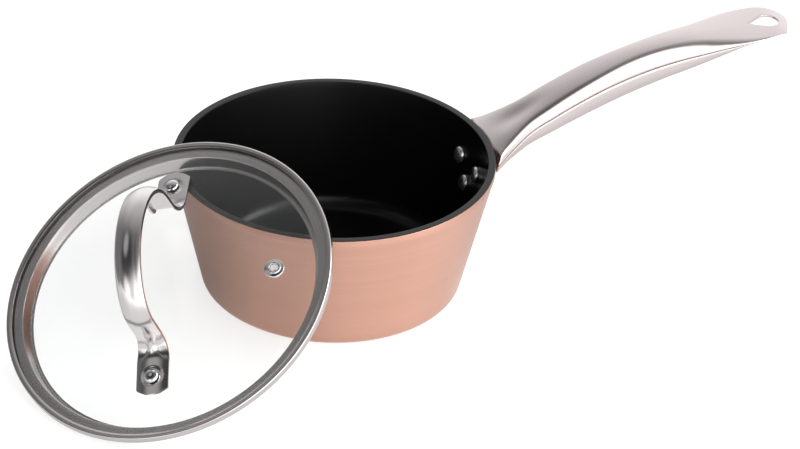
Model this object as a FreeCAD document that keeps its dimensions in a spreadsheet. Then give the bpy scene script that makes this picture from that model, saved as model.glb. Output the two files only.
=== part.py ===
import FreeCAD, Part
import math
import os
import Sketcher

# Saucepan with a glass lid. Millimetres, +Z up, origin at the middle of the pan's flat base,
# long handle along +X. The lid leans on the rim with its lower edge on the same surface.

V = FreeCAD.Vector
Z_AXIS = V(0, 0, 1)
X_AXIS = V(1, 0, 0)

# Driving dimensions: alias, value, meaning.
SIZES = (
    ("pan_height", 73.0, "base to top of rim"),
    ("rim_radius", 83.8, "outer radius of the rim"),
    ("bore_radius", 80.0, "inner radius at the rim"),
    ("foot_radius", 67.0, "outer wall line where it meets the floor"),
    ("wall_gauge", 3.4, "wall with its coating, measured level, at the foot"),
    ("base_gauge", 4.6, "floor of the pan without coating"),
    ("foot_round", 9.0, "outer rounding between wall and base"),
    ("bowl_round", 9.6, "inner rounding between wall and floor"),
    ("rim_band_depth", 4.0, "upright band under the rim"),
    ("rim_band_step", 0.35, "how far the band stands proud of the wall"),
    ("rim_round", 0.4, "broken outer edge of the rim"),
    ("coat_gauge", 0.4, "nonstick coating"),
    ("disc_radius", 57.0, "induction disc in the base"),
    ("disc_gauge", 0.8, "thickness of the induction disc"),
    ("disc_gap", 0.1, "clearance around the induction disc"),
    ("flange_gauge", 2.0, "riveted flange of the handle"),
    ("flange_gap", 0.1, "seat between flange and wall"),
    ("flange_top", 8.0, "rim to top of flange"),
    ("flange_bottom", 37.0, "rim to bottom of flange"),
    ("flange_top_width", 40.0, "width of the flange at the top"),
    ("flange_bottom_width", 15.0, "width of the flange at the bottom"),
    ("flange_round", 5.0, "rounded corners of the flange"),
    ("rivet_upper_drop", 17.7, "rim to the upper rivets"),
    ("rivet_lower_drop", 28.3, "rim to the lower rivet"),
    ("rivet_spread", 8.5, "degrees from the handle line to each upper rivet"),
    ("rivet_head_radius", 4.5, "rivet head"),
    ("rivet_head_rise", 2.3, "height of the domed rivet head"),
    ("rivet_shank_radius", 2.5, "rivet shank"),
    ("rivet_hole_gap", 0.1, "clearance of the shank in its holes"),
    ("rivet_seat_gap", 0.25, "flat head on the curved wall"),
    ("rivet_tail_radius", 3.8, "upset tail outside the flange"),
    ("rivet_tail_rise", 1.6, "height of the upset tail"),
    ("handle_tip", 255.4, "pan axis to the end of the handle"),
    ("handle_lift", 40.9, "rise of the handle above the rim"),
    ("handle_crest", 0.69, "share of the handle's length where it is level"),
    ("handle_root_width", 47.0, "handle at the pan"),
    ("handle_waist_width", 16.6, "slimmest place of the grip"),
    ("handle_paddle_width", 34.6, "flat end of the grip"),
    ("handle_seam_drop", 9.0, "deepest bevel above the weld seam"),
    ("handle_belly_drop", 22.3, "deepest place of the underside"),
    ("handle_bevel_lean", 0.2, "outward lean of the bevel, per mm of depth"),
    ("handle_tip_droop", 1.8, "fall of the last stretch"),
    ("top_shell_gauge", 1.2, "upper pressing"),
    ("belly_shell_gauge", 0.9, "lower pressing"),
    ("seam_gap", 0.05, "between the two pressings"),
    ("hang_hole_radius", 6.1, "round end of the hanging hole"),
    ("hang_hole_inset", 12.0, "handle end to centre of the round end"),
    ("hang_hole_length", 11.8, "centre of the round end to the point"),
    ("lid_radius", 87.5, "outer radius of the lid"),
    ("lid_side", 4.3, "height of the upright edge of the band"),
    ("lid_lip", 3.2, "width of the lip on the glass"),
    ("lid_sheet", 0.6, "steel of the lid band"),
    ("skirt_top_radius", 79.4, "skirt where it leaves the lower lip"),
    ("skirt_end_radius", 77.5, "skirt at its lower edge"),
    ("skirt_depth", 11.0, "top of the lid edge to the skirt's lower edge"),
    ("skirt_hem", 2.0, "turned-in hem of the skirt"),
    ("glass_gauge", 3.0, "glass"),
    ("glass_gap", 0.05, "glass in the band"),
    ("glass_dome_radius", 83.4, "where the flat edge turns into the dome"),
    ("glass_rise", 9.5, "middle of the dome above the lid edge"),
    ("foot_offset", 55.9, "lid centre to each handle screw"),
    ("vent_offset", 59.1, "lid centre to the steam vent"),
    ("vent_bore_radius", 2.3, "open bore of the vent"),
    ("vent_tube_radius", 3.3, "tube of the vent"),
    ("vent_flange_radius", 5.2, "flange of the vent"),
    ("vent_flange_gauge", 0.9, "flange thickness of the vent"),
    ("vent_collar_rise", 1.7, "raised collar round the bore"),
    ("fitting_gap", 0.1, "seat between stacked fittings"),
    ("hole_gap", 0.4, "glass holes round what passes through"),
    ("screw_radius", 2.3, "handle screw shank"),
    ("screw_head_radius", 3.7, "domed screw head"),
    ("screw_head_rise", 2.2, "height of the screw head"),
    ("screw_gap", 0.1, "clearance of the shank in washers and nut"),
    ("seal_radius", 6.4, "soft seal washer"),
    ("seal_gauge", 0.8, "thickness of a seal washer"),
    ("washer_radius", 5.8, "steel washer under the glass"),
    ("washer_gauge", 0.8, "thickness of a steel washer"),
    ("nut_radius", 4.4, "round cap nut under the glass"),
    ("nut_rise", 3.2, "height of the nut"),
    ("strap_width", 13.4, "lid handle strap"),
    ("strap_gauge", 3.2, "thickness of the strap"),
    ("strap_half_span", 39.8, "middle to the outside of each leg"),
    ("strap_arch_foot", 26.2, "lid edge to where the legs turn into the arch"),
    ("strap_arch_rise", 29.6, "height of the arch above the legs"),
    ("foot_plate_width", 17.0, "flat foot of the strap"),
    ("foot_plate_gauge", 1.3, "thickness of a flat foot"),
    ("foot_plate_reach", 9.4, "screw to the outer end of the foot"),
    ("lean_angle", 32.05, "degrees between the lid and the floor"),
    ("lean_azimuth", -151.6, "degrees from the handle to the leaning lid"),
    ("lid_spin", 33.1, "degrees the lid is turned in its own plane"),
    ("rest_gap", 0.3, "lid to rim, where it leans"),
    ("floor_gap", 0.05, "lid to floor"),
)

# Handle pressings: share of the length, root flare, paddle flare, seam, underside, crown,
# each as a share of the sizes above.
HANDLE_STATIONS = (
    (-0.035, 1.10, 0.00, 0.05, 0.57, 6.0),
    (0.004, 0.88, 0.00, 0.12, 0.61, 5.4),
    (0.028, 0.69, 0.00, 0.24, 0.67, 4.7),
    (0.065, 0.48, 0.00, 0.40, 0.74, 3.6),
    (0.118, 0.26, 0.00, 0.56, 0.81, 2.2),
    (0.200, 0.18, 0.00, 0.72, 0.91, 1.3),
    (0.330, 0.10, 0.00, 0.86, 0.99, 0.9),
    (0.487, 0.00, 0.00, 1.00, 1.00, 0.8),
    (0.573, 0.00, 0.07, 0.94, 0.93, 0.8),
    (0.660, 0.00, 0.30, 0.77, 0.78, 0.7),
    (0.746, 0.00, 0.71, 0.42, 0.49, 0.4),
    (0.825, 0.00, 0.99, 0.18, 0.17, 0.2),
    (0.890, 0.00, 1.00, 0.16, 0.13, 0.2),
    (0.940, 0.00, 0.76, 0.20, 0.15, 0.2),
    (0.967, 0.00, 0.34, 0.22, 0.16, 0.2),
    (0.987, 0.00, -0.12, 0.22, 0.16, 0.2),
    (1.000, 0.00, -0.55, 0.22, 0.16, 0.2),
)

doc = FreeCAD.newDocument("saucepan")
sheet = doc.addObject("Spreadsheet::Sheet", "Sizes")
for row, (alias, value, meaning) in enumerate(SIZES, start=1):
    sheet.set("A%d" % row, alias)
    sheet.set("B%d" % row, str(value))
    sheet.setAlias("B%d" % row, alias)
    sheet.set("C%d" % row, meaning)
doc.recompute()

PARTS = []


def size(alias):
    """Value of one driving dimension."""
    return float(sheet.get(alias))


def bound(text):
    """Expression text in which each word is a driving dimension of the sheet."""
    words = text.replace("(", " ( ").replace(")", " ) ").split()
    aliases = [alias for alias, _, _ in SIZES]
    return " ".join("Sizes." + word if word in aliases else word for word in words)


def hand_in(thing, label, placement=None):
    """Register one finished sub-part under its node name."""
    thing.Label = label
    if placement is not None:
        thing.Placement = placement
    PARTS.append(thing)
    return thing


def origin_plane(body, role):
    """One of a body's own origin planes."""
    return [f for f in body.Origin.OriginFeatures if f.Role == role][0]


def outline_sketch(body, role, corners):
    """Closed outline in an origin plane. A corner is two expressions; an arc into the next
    corner adds a third, its radius, and a fourth, the sign of the side it bulges to."""
    sketch = body.newObject("Sketcher::SketchObject", "Outline")
    sketch.AttachmentSupport = [(origin_plane(body, role), "")]
    sketch.MapMode = "FlatFace"
    texts = [[bound(part) for part in corner[:3]] for corner in corners]
    places = [V(*(float(sheet.evalExpression(t)) for t in text[:2]), 0) for text in texts]
    ends = []
    for i, corner in enumerate(corners):
        here, there = places[i], places[(i + 1) % len(places)]
        if len(corner) == 2:
            sketch.addGeometry(Part.LineSegment(here, there), False)
            ends.append((1, 2))
            continue
        radius = float(sheet.evalExpression(texts[i][2]))
        chord = there - here
        left = V(-chord.y, chord.x, 0).normalize()
        centre = (here + there) / 2 - left * (corner[3] * math.sqrt(radius ** 2 - (chord.Length / 2) ** 2))
        first, last = (there, here) if corner[3] > 0 else (here, there)
        start = math.atan2(first.y - centre.y, first.x - centre.x)
        sweep = (math.atan2(last.y - centre.y, last.x - centre.x) - start) % (2 * math.pi)
        circle = Part.Circle(centre, Z_AXIS, radius)
        sketch.addGeometry(Part.ArcOfCircle(circle, start, start + sweep), False)
        ends.append((2, 1) if corner[3] > 0 else (1, 2))
    for i in range(len(corners)):
        after = (i + 1) % len(corners)
        sketch.addConstraint(Sketcher.Constraint("Coincident", i, ends[i][1], after, ends[after][0]))
    for i, place in enumerate(places):
        for kind, text, value in (("DistanceX", texts[i][0], place.x), ("DistanceY", texts[i][1], place.y)):
            index = sketch.addConstraint(Sketcher.Constraint(kind, -1, 1, i, ends[i][0], value))
            sketch.setExpression("Constraints[%d]" % index, text)
        if len(texts[i]) > 2:
            radius = float(sheet.evalExpression(texts[i][2]))
            index = sketch.addConstraint(Sketcher.Constraint("Radius", i, radius))
            sketch.setExpression("Constraints[%d]" % index, texts[i][2])
    return sketch


def turned(name, corners, angle=360.0):
    """Body of revolution about Z from an outline in the XZ plane."""
    body = doc.addObject("PartDesign::Body", name)
    sketch = outline_sketch(body, "XZ_Plane", corners)
    turn = body.newObject("PartDesign::Revolution", "Turn")
    turn.Profile = sketch
    turn.ReferenceAxis = (sketch, ["V_Axis"])
    turn.Midplane = True
    turn.Angle = angle
    doc.recompute()
    return body


def round_circle(body, radius, height, rounding):
    """Fillet the circular edge of a turned body at a radius and height."""
    base = body.Tip
    names = []
    for number, edge in enumerate(base.Shape.Edges, start=1):
        curve = edge.Curve
        if isinstance(curve, Part.Circle) and abs(curve.Radius - radius) < 0.01:
            if abs(curve.Center.z - height) < 0.01:
                names.append("Edge%d" % number)
    fillet = body.newObject("PartDesign::Fillet", "Round")
    fillet.Base = (base, names)
    fillet.setExpression("Radius", bound(rounding))
    doc.recompute()


def cylinder(name, radius, height, placement):
    """Cylinder with bound sizes, along its own Z."""
    solid = doc.addObject("Part::Cylinder", name)
    solid.setExpression("Radius", bound(radius))
    solid.setExpression("Height", bound(height))
    solid.Placement = placement
    return solid


def joined(kind, name, things):
    """Boolean of two or more objects: Cut, Common or MultiFuse."""
    result = doc.addObject("Part::" + kind, name)
    if kind == "MultiFuse":
        result.Shapes = things
    else:
        result.Base, result.Tool = things
    doc.recompute()
    return result


# ---------------------------------------------------------------- pan

WALL_SLOPE = "(rim_radius - rim_band_step - foot_radius) / (pan_height - rim_band_depth)"
BORE_FOOT = "(foot_radius - wall_gauge)"
BORE_SLOPE = "(bore_radius - foot_radius + wall_gauge) / pan_height"


def value_of(text):
    """Number of an expression in driving dimensions."""
    return float(sheet.evalExpression(bound(text)))


def pan_body():
    """Tapered pan: recessed base, straight wall, short upright band under the rim."""
    inner_foot = BORE_FOOT + " + coat_gauge + base_gauge * " + BORE_SLOPE
    body = turned("PanTurned", (
        ("0", "disc_gauge"),
        ("disc_radius", "disc_gauge"),
        ("disc_radius", "0"),
        ("foot_radius", "0"),
        ("rim_radius - rim_band_step", "pan_height - rim_band_depth"),
        ("rim_radius", "pan_height - rim_band_depth"),
        ("rim_radius", "pan_height"),
        ("bore_radius + coat_gauge", "pan_height"),
        (inner_foot, "base_gauge"),
        ("0", "base_gauge")))
    round_circle(body, size("foot_radius"), 0, "foot_round")
    round_circle(body, value_of(inner_foot), size("base_gauge"), "bowl_round")
    round_circle(body, size("rim_radius"), size("pan_height"), "rim_round")
    return body


def nonstick_lining():
    """Thin black coating over the whole inside, up to the top of the rim."""
    outer_foot = BORE_FOOT + " + coat_gauge + base_gauge * " + BORE_SLOPE
    inner_foot = BORE_FOOT + " + (base_gauge + coat_gauge) * " + BORE_SLOPE
    body = turned("LiningTurned", (
        ("0", "base_gauge"),
        (outer_foot, "base_gauge"),
        ("bore_radius + coat_gauge", "pan_height"),
        ("bore_radius", "pan_height"),
        (inner_foot, "base_gauge + coat_gauge"),
        ("0", "base_gauge + coat_gauge")))
    round_circle(body, value_of(outer_foot), size("base_gauge"), "bowl_round")
    round_circle(body, value_of(inner_foot), size("base_gauge") + size("coat_gauge"), "bowl_round - coat_gauge")
    return body


def wall_radius(foot, slope, drop):
    """Expression for the radius of a wall line, drop below the rim."""
    return "(%s + (pan_height - %s) * %s)" % (foot, drop, slope)


def rivet_placement(azimuth, drop):
    """Frame on the inner wall: its Z points square out of the wall into the pan."""
    height = value_of("pan_height - " + drop)
    radius = value_of(wall_radius(BORE_FOOT, BORE_SLOPE, drop))
    tilt = math.atan(value_of(BORE_SLOPE))
    around = math.radians(azimuth)
    inward = V(-math.cos(tilt) * math.cos(around), -math.cos(tilt) * math.sin(around), math.sin(tilt))
    place = V(radius * math.cos(around), radius * math.sin(around), height)
    return FreeCAD.Placement(place, FreeCAD.Rotation(Z_AXIS, inward))


def rivet(label, placement, drop):
    """Domed head inside, shank through coating, wall and flange, upset tail outside."""
    wall = wall_radius("foot_radius", WALL_SLOPE, drop) + " - " + wall_radius(BORE_FOOT, BORE_SLOPE, drop)
    grip = "(" + wall + " + flange_gap + flange_gauge + rivet_seat_gap)"
    body = turned("Rivet", (
        ("0", "rivet_seat_gap + rivet_head_rise"),
        ("rivet_head_radius", "rivet_seat_gap + rivet_head_rise"),
        ("rivet_head_radius", "rivet_seat_gap"),
        ("rivet_shank_radius", "rivet_seat_gap"),
        ("rivet_shank_radius", "0 - " + grip),
        ("rivet_tail_radius", "0 - " + grip),
        ("rivet_tail_radius", "0 - " + grip + " - rivet_tail_rise"),
        ("0", "0 - " + grip + " - rivet_tail_rise")))
    top = size("rivet_seat_gap") + size("rivet_head_rise")
    round_circle(body, size("rivet_head_radius"), top, "rivet_head_rise * 0.85")
    hand_in(body, label, placement)


def handle_flange(drills):
    """Plate that follows the wall, trimmed to a rounded taper and drilled for the rivets."""
    start = "foot_radius + flange_gap"
    low, high = "pan_height - flange_bottom", "pan_height - flange_top"
    shell = turned("FlangeTurned", (
        (start + " + (" + low + ") * " + WALL_SLOPE, low),
        (start + " + flange_gauge + (" + low + ") * " + WALL_SLOPE, low),
        (start + " + flange_gauge + (" + high + ") * " + WALL_SLOPE, high),
        (start + " + (" + high + ") * " + WALL_SLOPE, high)), 60.0)
    trim = doc.addObject("PartDesign::Body", "FlangeTrim")
    sketch = outline_sketch(trim, "YZ_Plane", (
        ("0 - flange_bottom_width / 2", low),
        ("flange_bottom_width / 2", low),
        ("flange_top_width / 2", high),
        ("0 - flange_top_width / 2", high)))
    pad = trim.newObject("PartDesign::Pad", "Outward")
    pad.Profile = sketch
    pad.setExpression("Length", bound("rim_radius + 10"))
    doc.recompute()
    corners = []
    for number, edge in enumerate(pad.Shape.Edges, start=1):
        if edge.BoundBox.XLength > 1:
            corners.append("Edge%d" % number)
    fillet = trim.newObject("PartDesign::Fillet", "Corners")
    fillet.Base = (pad, corners)
    fillet.setExpression("Radius", bound("flange_round"))
    doc.recompute()
    plate = joined("Common", "FlangePlate", (shell, trim))
    hand_in(joined("Cut", "Flange", (plate, drills)), "handle_flange")


def handle_section(station):
    """Sizes of the handle at one station: x, top height, half widths and drops."""
    along, root, paddle, seam, belly, crown = station
    start = size("rim_radius")
    waist = size("handle_waist_width")
    width = waist + root * (size("handle_root_width") - waist) + paddle * (size("handle_paddle_width") - waist)
    climb = min(1.0, along / size("handle_crest"))
    height = size("pan_height") + size("handle_lift") * math.sin(math.pi / 2 * climb)
    fall = max(0.0, along - 0.93) / 0.07
    height -= size("handle_tip_droop") * fall ** 2
    drop = size("handle_seam_drop") * seam
    edge = width / 2 + size("handle_bevel_lean") * drop
    depth = max(size("handle_belly_drop") * belly, crown + drop + size("belly_shell_gauge") + 0.1)
    return start + along * (size("handle_tip") - start), height, width / 2, edge, drop, depth, crown


def lofted(name, section):
    """Smooth solid through the closed sections of all handle stations."""
    wires = []
    for station in HANDLE_STATIONS:
        x, height, half, edge, drop, depth, crown = handle_section(station)
        points = [V(x, y, height + z) for y, z in section(half, edge, drop, depth, crown)]
        wires.append(Part.makePolygon(points + points[:1]))
    shell = doc.addObject("Part::Feature", name)
    shell.Shape = Part.makeLoft(wires, True, False)
    return shell


def top_section(half, edge, drop, depth, crown):
    """Inverted channel: crowned top, bevelled sides, open below."""
    gauge = size("top_shell_gauge")
    seam = crown + drop
    outer = [(-edge, -seam), (-half, -crown), (-0.4 * half, -0.1 * crown)]
    outer += [(-y, z) for y, z in reversed(outer)]
    shoulder = min(crown + gauge, seam)
    inner = [(edge - gauge, -seam), (half - gauge, -shoulder), (0.4 * half, -0.1 * crown - gauge)]
    inner += [(-y, z) for y, z in reversed(inner)]
    return outer + inner


def belly_section(half, edge, drop, depth, crown):
    """Boat-shaped lower pressing, welded to the channel along the seam."""
    gauge = size("belly_shell_gauge")
    seam = crown + drop + size("seam_gap")
    flank = seam + 0.6 * (depth - seam)
    outer = [(-edge, -seam), (-0.86 * edge, -flank), (-0.5 * edge, -depth)]
    outer += [(-y, z) for y, z in reversed(outer)]
    floor = max(depth - gauge, seam)
    inner = [(edge - gauge, -seam), (0.86 * edge - gauge, -max(flank - 0.6 * gauge, seam))]
    inner.append((0.5 * edge - 0.4 * gauge, -floor))
    inner += [(-y, z) for y, z in reversed(inner)]
    return outer + inner


def wall_envelope():
    """Everything the handle's root must stay clear of: the pan and its flange."""
    step = "(flange_gauge + 2 * flange_gap)"
    return turned("RootTrim", (
        ("0", "0"),
        ("foot_radius + " + step, "0"),
        ("foot_radius + " + step + " + (pan_height + 12) * " + WALL_SLOPE, "pan_height + 12"),
        ("0", "pan_height + 12")))


def hanging_hole():
    """Teardrop through the flat end: round end outward, point towards the pan."""
    radius, reach = size("hang_hole_radius"), size("hang_hole_length")
    x = size("handle_tip") - size("hang_hole_inset")
    half = math.acos(radius / reach)
    touch = V(x - radius * math.cos(half), radius * math.sin(half), 0)
    mirror = V(touch.x, -touch.y, 0)
    point = V(x - reach, 0, 0)
    edges = [
        Part.LineSegment(point, touch).toShape(),
        Part.Arc(touch, V(x + radius, 0, 0), mirror).toShape(),
        Part.LineSegment(mirror, point).toShape(),
    ]
    cutter = doc.addObject("Part::Feature", "HangingHole")
    cutter.Shape = Part.Face(Part.Wire(edges)).extrude(V(0, 0, 40))
    cutter.Placement = FreeCAD.Placement(V(0, 0, size("pan_height") + size("handle_lift") - 20), FreeCAD.Rotation())
    return cutter


def pan():
    """All pieces of the pan."""
    rivets = (
        ("rivet_upper_left", size("rivet_spread"), "rivet_upper_drop"),
        ("rivet_upper_right", -size("rivet_spread"), "rivet_upper_drop"),
        ("rivet_lower", 0.0, "rivet_lower_drop"),
    )
    holes = []
    for label, azimuth, drop in rivets:
        frame = rivet_placement(azimuth, drop)
        back = frame.multVec(V(0, 0, -12))
        drill = FreeCAD.Placement(back, frame.Rotation)
        holes.append(cylinder("Drill", "rivet_shank_radius + rivet_hole_gap", "24", drill))
        rivet(label, frame, drop)
    drills = joined("MultiFuse", "Drills", holes)
    hand_in(joined("Cut", "PanDrilled", (pan_body(), drills)), "pan_body")
    hand_in(joined("Cut", "LiningDrilled", (nonstick_lining(), drills)), "nonstick_lining")
    disc = cylinder("Disc", "disc_radius - disc_gap", "disc_gauge", FreeCAD.Placement())
    hand_in(disc, "induction_base_plate")
    handle_flange(drills)
    envelope, hole = wall_envelope(), hanging_hole()
    for label, section in (("handle_top_shell", top_section), ("handle_belly_shell", belly_section)):
        shell = lofted(label + "_loft", section)
        seated = joined("Cut", label + "_seated", (shell, envelope))
        hand_in(joined("Cut", label + "_pierced", (seated, hole)), label)


# ---------------------------------------------------------------- lid

def lid_placement():
    """Lid leaning on the rim. Its skirt touches the rim on both sides of the lean line, and
    its lowest edge touches the floor; both contacts give the centre of the lid edge plane."""
    lean = math.radians(size("lean_angle"))
    sine, cosine = math.sin(lean), math.cos(lean)
    edge_reach = size("lid_radius") * sine + size("lid_side") * cosine
    skirt_reach = size("skirt_end_radius") * sine + size("skirt_depth") * cosine
    height = max(edge_reach, skirt_reach) + size("floor_gap")
    up_slope = (size("pan_height") - height + size("skirt_depth") * cosine) / sine
    away = 0.0
    for radius in (size("skirt_end_radius"), size("skirt_end_radius") - 2 * size("lid_sheet")):
        chord = radius ** 2 - up_slope ** 2
        inward = math.sqrt((size("rim_radius") + size("rest_gap")) ** 2 - chord)
        away = max(away, inward + up_slope * cosine + size("skirt_depth") * sine)
    azimuth = math.radians(size("lean_azimuth"))
    place = V(away * math.cos(azimuth), away * math.sin(azimuth), height)
    turn = FreeCAD.Rotation(Z_AXIS, size("lean_azimuth") + 90)
    tip = FreeCAD.Rotation(X_AXIS, size("lean_angle"))
    spin = FreeCAD.Rotation(Z_AXIS, size("lid_spin"))
    return FreeCAD.Placement(place, turn * tip * spin)


GLASS_TOP = "(0 - lid_sheet - glass_gap)"
DOME_RISE = "(glass_rise + lid_sheet + glass_gap)"
DOME_RADIUS = "(glass_dome_radius ^ 2 + " + DOME_RISE + " ^ 2) / (2 * " + DOME_RISE + ")"


def fitting_placement(x, y):
    """Frame on top of the glass at x, y of the lid: its Z stands square on the dome."""
    ball = value_of(DOME_RADIUS)
    away = math.hypot(x, y)
    height = size("glass_rise") - ball + math.sqrt(ball ** 2 - away ** 2)
    outward = V(x, y, height - size("glass_rise") + ball).normalize()
    return FreeCAD.Placement(V(x, y, height), FreeCAD.Rotation(Z_AXIS, outward))


def lid_glass(fittings, vent):
    """Shallow glass dome with a flat edge, drilled for the screws and the vent."""
    body = turned("GlassTurned", (
        ("0", "glass_rise - glass_gauge"),
        ("0", "glass_rise", DOME_RADIUS, 1),
        ("glass_dome_radius", GLASS_TOP),
        ("lid_radius - lid_sheet - glass_gap * 2", GLASS_TOP),
        ("lid_radius - lid_sheet - glass_gap * 2", GLASS_TOP + " - glass_gauge"),
        ("glass_dome_radius", GLASS_TOP + " - glass_gauge", DOME_RADIUS, -1)))
    holes = []
    for frame, radius in [(f, "screw_radius + hole_gap") for f in fittings] + [(vent, "vent_tube_radius + hole_gap")]:
        drill = FreeCAD.Placement(frame.multVec(V(0, 0, -10)), frame.Rotation)
        holes.append(cylinder("GlassDrill", radius, "20", drill))
    drills = joined("MultiFuse", "GlassDrills", holes)
    return joined("Cut", "GlassDrilled", (body, drills))


def lid_rim_band():
    """Rolled steel band: lip on the glass, upright edge, lower lip, hemmed skirt."""
    hem_share = "skirt_hem / (skirt_depth - lid_side)"
    hem_radius = "skirt_end_radius + (skirt_top_radius - skirt_end_radius) * " + hem_share
    return turned("BandTurned", (
        ("lid_radius - lid_lip", "0"),
        ("lid_radius", "0"),
        ("lid_radius", "0 - lid_side"),
        ("skirt_top_radius", "0 - lid_side"),
        ("skirt_end_radius", "0 - skirt_depth"),
        ("skirt_end_radius - 2 * lid_sheet", "0 - skirt_depth"),
        (hem_radius + " - 2 * lid_sheet", "skirt_hem - skirt_depth"),
        (hem_radius + " - lid_sheet", "skirt_hem - skirt_depth"),
        ("skirt_top_radius - lid_sheet", "lid_sheet - lid_side"),
        ("lid_radius - lid_sheet", "lid_sheet - lid_side"),
        ("lid_radius - lid_sheet", "0 - lid_sheet"),
        ("lid_radius - lid_lip", "0 - lid_sheet")))


def vent_eyelet():
    """Steam vent: collar and flange above the glass, tube through it, flange below."""
    under = "(0 - glass_gauge - fitting_gap)"
    return turned("VentTurned", (
        ("vent_bore_radius", "vent_collar_rise"),
        ("vent_tube_radius", "vent_collar_rise"),
        ("vent_tube_radius", "fitting_gap + vent_flange_gauge"),
        ("vent_flange_radius", "fitting_gap + vent_flange_gauge"),
        ("vent_flange_radius", "fitting_gap"),
        ("vent_tube_radius", "fitting_gap"),
        ("vent_tube_radius", under),
        ("vent_flange_radius", under),
        ("vent_flange_radius", under + " - vent_flange_gauge"),
        ("vent_bore_radius", under + " - vent_flange_gauge")))


def washer(name, radius, low, gauge):
    """Flat ring round the screw; low is the height of its lower face."""
    return turned(name, (
        ("screw_radius + screw_gap", low + " + " + gauge),
        (radius, low + " + " + gauge),
        (radius, low),
        ("screw_radius + screw_gap", low)))


PLATE_LOW = "(2 * fitting_gap + seal_gauge)"
PLATE_TOP = "(2 * fitting_gap + seal_gauge + foot_plate_gauge)"
UNDER_SEAL = "(0 - glass_gauge - fitting_gap - seal_gauge)"
UNDER_WASHER = "(0 - glass_gauge - 2 * fitting_gap - seal_gauge - washer_gauge)"
UNDER_NUT = "(0 - glass_gauge - 3 * fitting_gap - seal_gauge - washer_gauge - nut_rise)"


def screw():
    """Domed screw from above the strap's foot down into the nut."""
    head = PLATE_TOP + " + fitting_gap"
    body = turned("Screw", (
        ("0", head + " + screw_head_rise"),
        ("screw_head_radius", head + " + screw_head_rise"),
        ("screw_head_radius", head),
        ("screw_radius", head),
        ("screw_radius", UNDER_NUT),
        ("0", UNDER_NUT)))
    top = value_of(head) + size("screw_head_rise")
    round_circle(body, size("screw_head_radius"), top, "screw_head_rise * 0.85")
    return body


def lid_handle_strap(fittings):
    """Flat strap: upright legs, elliptical arch, flat feet square on the glass dome."""
    half, gauge = size("strap_half_span"), size("strap_gauge")
    foot, rise = size("strap_arch_foot"), size("strap_arch_rise")
    plate_middle = value_of(PLATE_LOW) + size("foot_plate_gauge") / 2
    low = fittings[0].multVec(V(0, half - gauge / 2 - size("foot_offset"), plate_middle)).z
    edges = []
    for reach, height in ((half, rise), (half - gauge, rise - gauge)):
        ellipse = Part.Ellipse(V(0, 0, 0), reach, height)
        arch = Part.ArcOfEllipse(ellipse, 0, math.pi).toShape()
        arch.Placement = FreeCAD.Placement(V(0, foot, 0), FreeCAD.Rotation())
        edges.append(arch)
    for side in (-1, 1):
        outer, inner = side * half, side * (half - gauge)
        edges.append(Part.LineSegment(V(outer, foot, 0), V(outer, low, 0)).toShape())
        edges.append(Part.LineSegment(V(outer, low, 0), V(inner, low, 0)).toShape())
        edges.append(Part.LineSegment(V(inner, low, 0), V(inner, foot, 0)).toShape())
    face = Part.Face(Part.Wire(Part.__sortEdges__(edges)))
    width = size("strap_width")
    arch = doc.addObject("Part::Feature", "StrapArch")
    arch.Shape = face.extrude(V(0, 0, width))
    upright = FreeCAD.Rotation(Z_AXIS, 90) * FreeCAD.Rotation(X_AXIS, 90)
    arch.Placement = FreeCAD.Placement(V(-width / 2, 0, 0), upright)
    pieces, holes = [arch], []
    for frame, side in zip(fittings, (1, -1)):
        plate = doc.addObject("Part::Box", "FootPlate")
        plate.setExpression("Length", bound("foot_plate_width"))
        plate.setExpression("Width", bound("foot_offset - strap_half_span + strap_gauge + foot_plate_reach"))
        plate.setExpression("Height", bound("foot_plate_gauge"))
        inner = size("strap_half_span") - size("strap_gauge") - size("foot_offset")
        start = inner if side > 0 else -size("foot_plate_reach")
        corner = V(-size("foot_plate_width") / 2, start, value_of(PLATE_LOW))
        plate.Placement = frame * FreeCAD.Placement(corner, FreeCAD.Rotation())
        pieces.append(plate)
        drill = FreeCAD.Placement(frame.multVec(V(0, 0, -5)), frame.Rotation)
        holes.append(cylinder("StrapDrill", "screw_radius + screw_gap", "15", drill))
    solid = joined("MultiFuse", "StrapJoined", pieces)
    return joined("Cut", "StrapDrilled", (solid, joined("MultiFuse", "StrapDrills", holes)))


def lid():
    """All pieces of the lid, built about its own axis and then leaned on the pan."""
    leaning = lid_placement()
    fittings = [fitting_placement(0, side * size("foot_offset")) for side in (1, -1)]
    vent = fitting_placement(size("vent_offset"), 0)
    hand_in(lid_glass(fittings, vent), "lid_glass", leaning)
    hand_in(lid_rim_band(), "lid_rim_band", leaning)
    hand_in(vent_eyelet(), "vent_eyelet", leaning * vent)
    hand_in(lid_handle_strap(fittings), "lid_handle_strap", leaning)
    for end, frame in zip(("upper", "lower"), fittings):
        place = leaning * frame
        hand_in(screw(), "lid_screw_" + end, place)
        hand_in(washer("TopSeal", "seal_radius", "fitting_gap", "seal_gauge"), "top_seal_" + end, place)
        hand_in(washer("UnderSeal", "seal_radius", UNDER_SEAL, "seal_gauge"), "under_seal_" + end, place)
        hand_in(washer("Washer", "washer_radius", UNDER_WASHER, "washer_gauge"), "washer_" + end, place)
        hand_in(washer("Nut", "nut_radius", UNDER_NUT, "nut_rise"), "lid_nut_" + end, place)


def check():
    """Stop on any failed feature or unusable solid."""
    doc.recompute()
    for thing in doc.Objects:
        if "Invalid" in thing.State or "Error" in thing.State:
            raise RuntimeError("failed feature: %s (%s)" % (thing.Label, thing.Name))
    for part in PARTS:
        shape = part.Shape
        if shape.isNull() or not shape.isValid() or not shape.Solids:
            raise RuntimeError("unusable solid: " + part.Label)


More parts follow.
